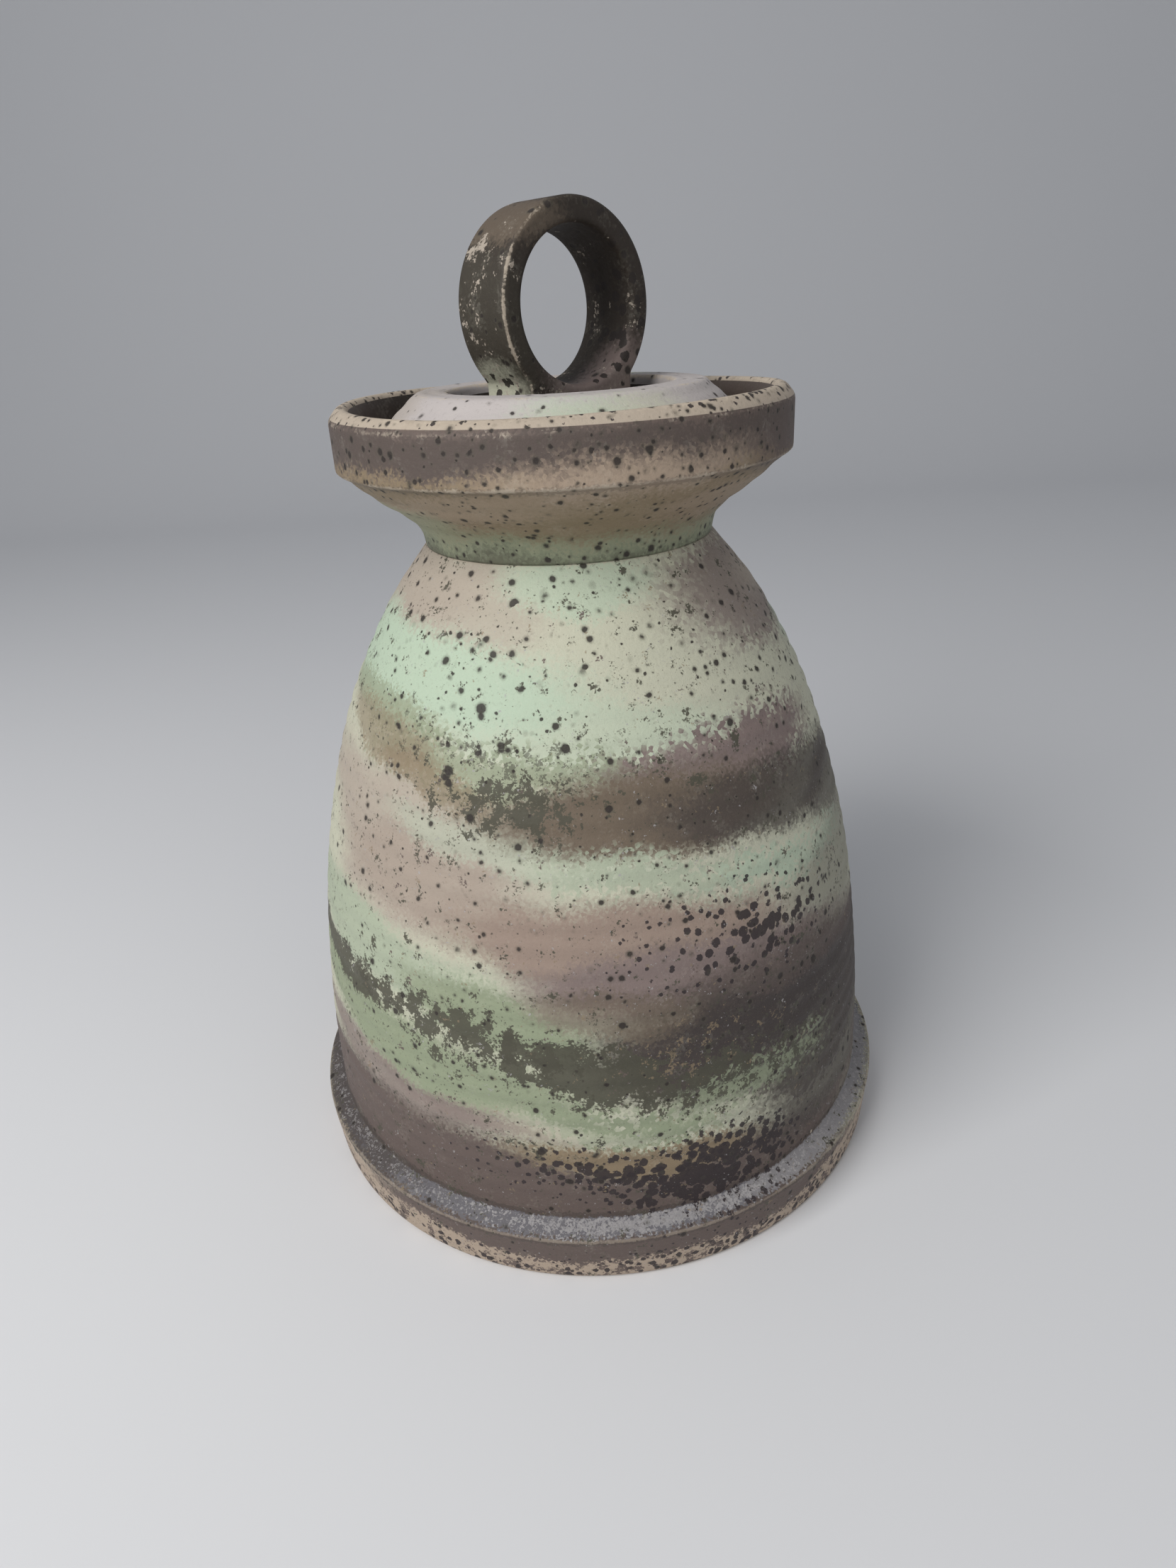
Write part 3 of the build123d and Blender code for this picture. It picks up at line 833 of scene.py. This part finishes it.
class JAR_OT_ring(bpy.types.Operator):
    """Stand the thrown ring on the lid with its luting pad"""
    bl_idname = "jar.ring"
    bl_label = "Ring Handle"

    def execute(self, context):
        """The section is an oblong with round corners, walked as four quarter circles with a flat from
        each to the next, and carried round the ring; the wall's outer side follows the ring's radius,
        or the pad's ends and flat foot where they reach further."""
        shape = context.scene.jar_shape
        ring_steps, flat_steps, arc_steps = 300, 8, 6
        corner, half_width = shape.ring_corner, RING_WIDTH / 2
        down = np.arange(ring_steps) * 2 * math.pi / ring_steps
        # how far the wall's outer side stands from the ring's centre, eased where the pad meets the ring
        foot = (RING_CENTRE - DISH_FLOOR) / np.maximum(np.cos(down), 0.05)
        ends = shape.pad_length / 2 / np.maximum(np.abs(np.sin(down)), 0.05)
        reach = np.maximum(RING_RADIUS, np.where(np.cos(down) > 0, np.minimum(foot, ends), 0))
        for _ in range(6):
            reach = (np.roll(reach, 1) + 2 * reach + np.roll(reach, -1)) / 4
        quarter = np.linspace(0, math.pi / 2, arc_steps)
        flat = np.linspace(0, 1, flat_steps + 1)[1:-1]
        stops = []
        for turn in range(4):
            start = turn * math.pi / 2
            here = np.sign([math.cos(start + math.pi / 4), math.sin(start + math.pi / 4)])
            after = np.sign([math.cos(start + 3 * math.pi / 4), math.sin(start + 3 * math.pi / 4)])
            arc = np.column_stack([np.cos(start + quarter), np.sin(start + quarter)])
            stops.append(np.hstack([np.broadcast_to(here, arc.shape), arc, np.ones((arc_steps, 1))]))
            run = here + (after - here) * flat[:, None]
            stops.append(np.hstack([run, np.broadcast_to(arc[-1], run.shape), np.zeros((len(flat), 1))]))
        place_x, place_y, step_x, step_y, edge = np.vstack(stops).T
        middle, half = (reach + shape.ring_hole) / 2, (reach - shape.ring_hole) / 2
        rad = middle[:, None] + (half[:, None] - corner) * place_x + corner * step_x
        y = np.broadcast_to((half_width - corner) * place_y + corner * step_y, rad.shape)
        x = rad * np.sin(down)[:, None]
        z = np.maximum(RING_CENTRE - rad * np.cos(down)[:, None], DISH_FLOOR)
        points = np.stack([x, y, z], -1).reshape(-1, 3)
        index = np.arange(len(points)).reshape(rad.shape)
        quads = np.stack([index, np.roll(index, -1, 0), np.roll(np.roll(index, -1, 0), -1, 1),
                          np.roll(index, -1, 1)], -1).reshape(-1, 4)
        # only the outer edge towards the front breaks pale, and most of all on its lit left: partly worn
        # glaze, partly a painted highlight
        lit_leftness = 0.5 - 0.5 * np.sin(down)[:, None]
        crest = 4 * np.abs(step_x * step_y) ** 2
        edges = (edge * crest * (place_x > 0.9) * (place_y < 0) * (0.1 + 0.8 * lit_leftness)).ravel()
        finishes = [glaze("sprayed_matt_stoneware_glaze_ring", "sable", RING_PASSES, RING_MOTTLES,
                          RING_SPOTS, edge_wear_and_highlight=0.6)]
        piece = mesh_object("thrown_ring", points, quads.tolist(), finishes, edges=edges)
        stand_for(piece, "ring_handle", "lid")
        return {"FINISHED"}


class JAR_OT_stage(bpy.types.Operator):
    """Lay the floor, set the lights and place the camera"""
    bl_idname = "jar.stage"
    bl_label = "Floor, Lights and Camera"

    def execute(self, context):
        self.floor()
        self.lights()
        self.camera(context.scene)
        return {"FINISHED"}

    def floor(self):
        """A pale sheet that runs away level and curves up behind: its side view is a line, a quarter
        circle and a line, carried along the camera's left to right."""
        before, reach, sweep, rise, half = 1.6, 0.9, 0.5, 1.6, 2.6
        bend = np.linspace(0, math.pi / 2, 24)
        side = np.vstack([
            [[-before, 0]], np.column_stack([reach + sweep * np.sin(bend), sweep * (1 - np.cos(bend))]),
            [[reach + sweep, rise]]])
        back = np.array([-math.cos(FRONT), -math.sin(FRONT)])
        left = np.array([-back[1], back[0]])
        edge = np.array([-half, half])
        level = side[:, None, 0, None] * back + edge[None, :, None] * left
        points = np.concatenate([level, np.broadcast_to(side[:, None, 1:], level.shape[:2] + (1,))], -1)
        index = np.arange(points.shape[0] * 2).reshape(-1, 2)
        faces = np.stack([index[:-1, 1], index[:-1, 0], index[1:, 0], index[1:, 1]], -1)
        # matt paper shows soft shade and no gleam
        paper = bpy.data.materials.new("matt_white_paper")
        paper.use_nodes = True
        shader = paper.node_tree.nodes["Principled BSDF"]
        shader.inputs["Base Color"].default_value = (*linear("#DEDFE2"), 1)
        shader.inputs["Roughness"].default_value = 0.8
        sheet = mesh_object("floor", points.reshape(-1, 3), faces.tolist(), [paper])

    def lights(self):
        """A large soft window high on the camera's left, a weak fill on its right and a pale sky."""
        for name, turn, height, away, size, power in (
                ("window", -46, 0.72, 0.75, 0.6, 7.9),
                ("fill", 40, 0.5, 0.9, 0.8, 1.3)):
            lamp = bpy.data.lights.new(name, "AREA")
            lamp.size = size
            lamp.energy = power
            lamp.color = (1.0, 0.985, 0.96)
            holder = bpy.data.objects.new(name, lamp)
            around = FRONT + math.radians(turn)
            place = np.array([away * math.cos(around), away * math.sin(around), height])
            aim = np.array([0, 0, 0.11]) - place
            level = math.hypot(aim[0], aim[1])
            holder.location = place
            holder.rotation_euler = (math.atan2(level, -aim[2]), 0,
                                     math.atan2(aim[1], aim[0]) - math.pi / 2)
            bpy.context.scene.collection.objects.link(holder)
        sky = bpy.data.worlds.new("pale_sky")
        sky.use_nodes = True
        sky.node_tree.nodes["Background"].inputs["Color"].default_value = (0.92, 0.95, 1.0, 1)
        sky.node_tree.nodes["Background"].inputs["Strength"].default_value = 0.29
        bpy.context.scene.world = sky
        bpy.context.scene.view_settings.view_transform = "Standard"

    def camera(self, scene):
        """The lens stands before the front, pitched down and turned by its roll and yaw."""
        view = scene.jar_camera
        lens = bpy.data.cameras.new("camera")
        lens.sensor_width = 36
        lens.lens = view.focal / MM
        lens.clip_start = 0.01
        camera = bpy.data.objects.new("camera", lens)
        ahead = FRONT + math.pi - view.yaw
        camera.location = (view.distance * math.cos(FRONT), view.distance * math.sin(FRONT), view.height)
        sight = np.array([math.cos(ahead) * math.cos(view.pitch), math.sin(ahead) * math.cos(view.pitch),
                          -math.sin(view.pitch)])
        right = np.array([math.sin(ahead), -math.cos(ahead), 0.0])
        down = np.cross(sight, right)
        c, s = math.cos(view.roll), math.sin(view.roll)
        right, down = c * right + s * down, c * down - s * right
        axes = mathutils.Matrix(np.column_stack([right, -down, -sight]).tolist())
        camera.rotation_euler = axes.to_euler()
        scene.collection.objects.link(camera)
        scene.camera = camera


class JAR_PT_sidebar(bpy.types.Panel):
    """Lists the jar's sizes, colours and pieces"""
    bl_idname = "JAR_PT_sidebar"
    bl_label = "Stoneware Jar"
    bl_space_type = "VIEW_3D"
    bl_region_type = "UI"
    bl_category = "Jar"

    def draw(self, context):
        for group in (getattr(context.scene, name) for name in GROUPS):
            box = self.layout.box()
            for name in group.bl_rna.properties.keys():
                if name not in ("rna_type", "name"):
                    box.prop(group, name)
        for operator in OPERATORS:
            self.layout.operator(operator.bl_idname)


OPERATORS = (JAR_OT_stage, JAR_OT_bell, JAR_OT_collar, JAR_OT_lid, JAR_OT_ring)
GROUPS = {"jar_shape": JarShape, "jar_throwing": JarThrowing, "jar_glaze": JarGlaze,
          "jar_camera": JarCamera}


def register():
    for cls in (*GROUPS.values(), *OPERATORS, JAR_PT_sidebar):
        bpy.utils.register_class(cls)
    for name, group in GROUPS.items():
        setattr(bpy.types.Scene, name, bpy.props.PointerProperty(type=group))


def unregister():
    for name in GROUPS:
        delattr(bpy.types.Scene, name)
    for cls in (JAR_PT_sidebar, *reversed(OPERATORS), *reversed(tuple(GROUPS.values()))):
        bpy.utils.unregister_class(cls)


def main():
    """Registers the add-on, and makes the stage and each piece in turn."""
    register()
    bpy.ops.jar.stage()
    bpy.ops.jar.bell()
    bpy.ops.jar.collar()
    bpy.ops.jar.lid()
    bpy.ops.jar.ring()
    bpy.context.view_layer.update()


if __name__ == "__main__":
    main()
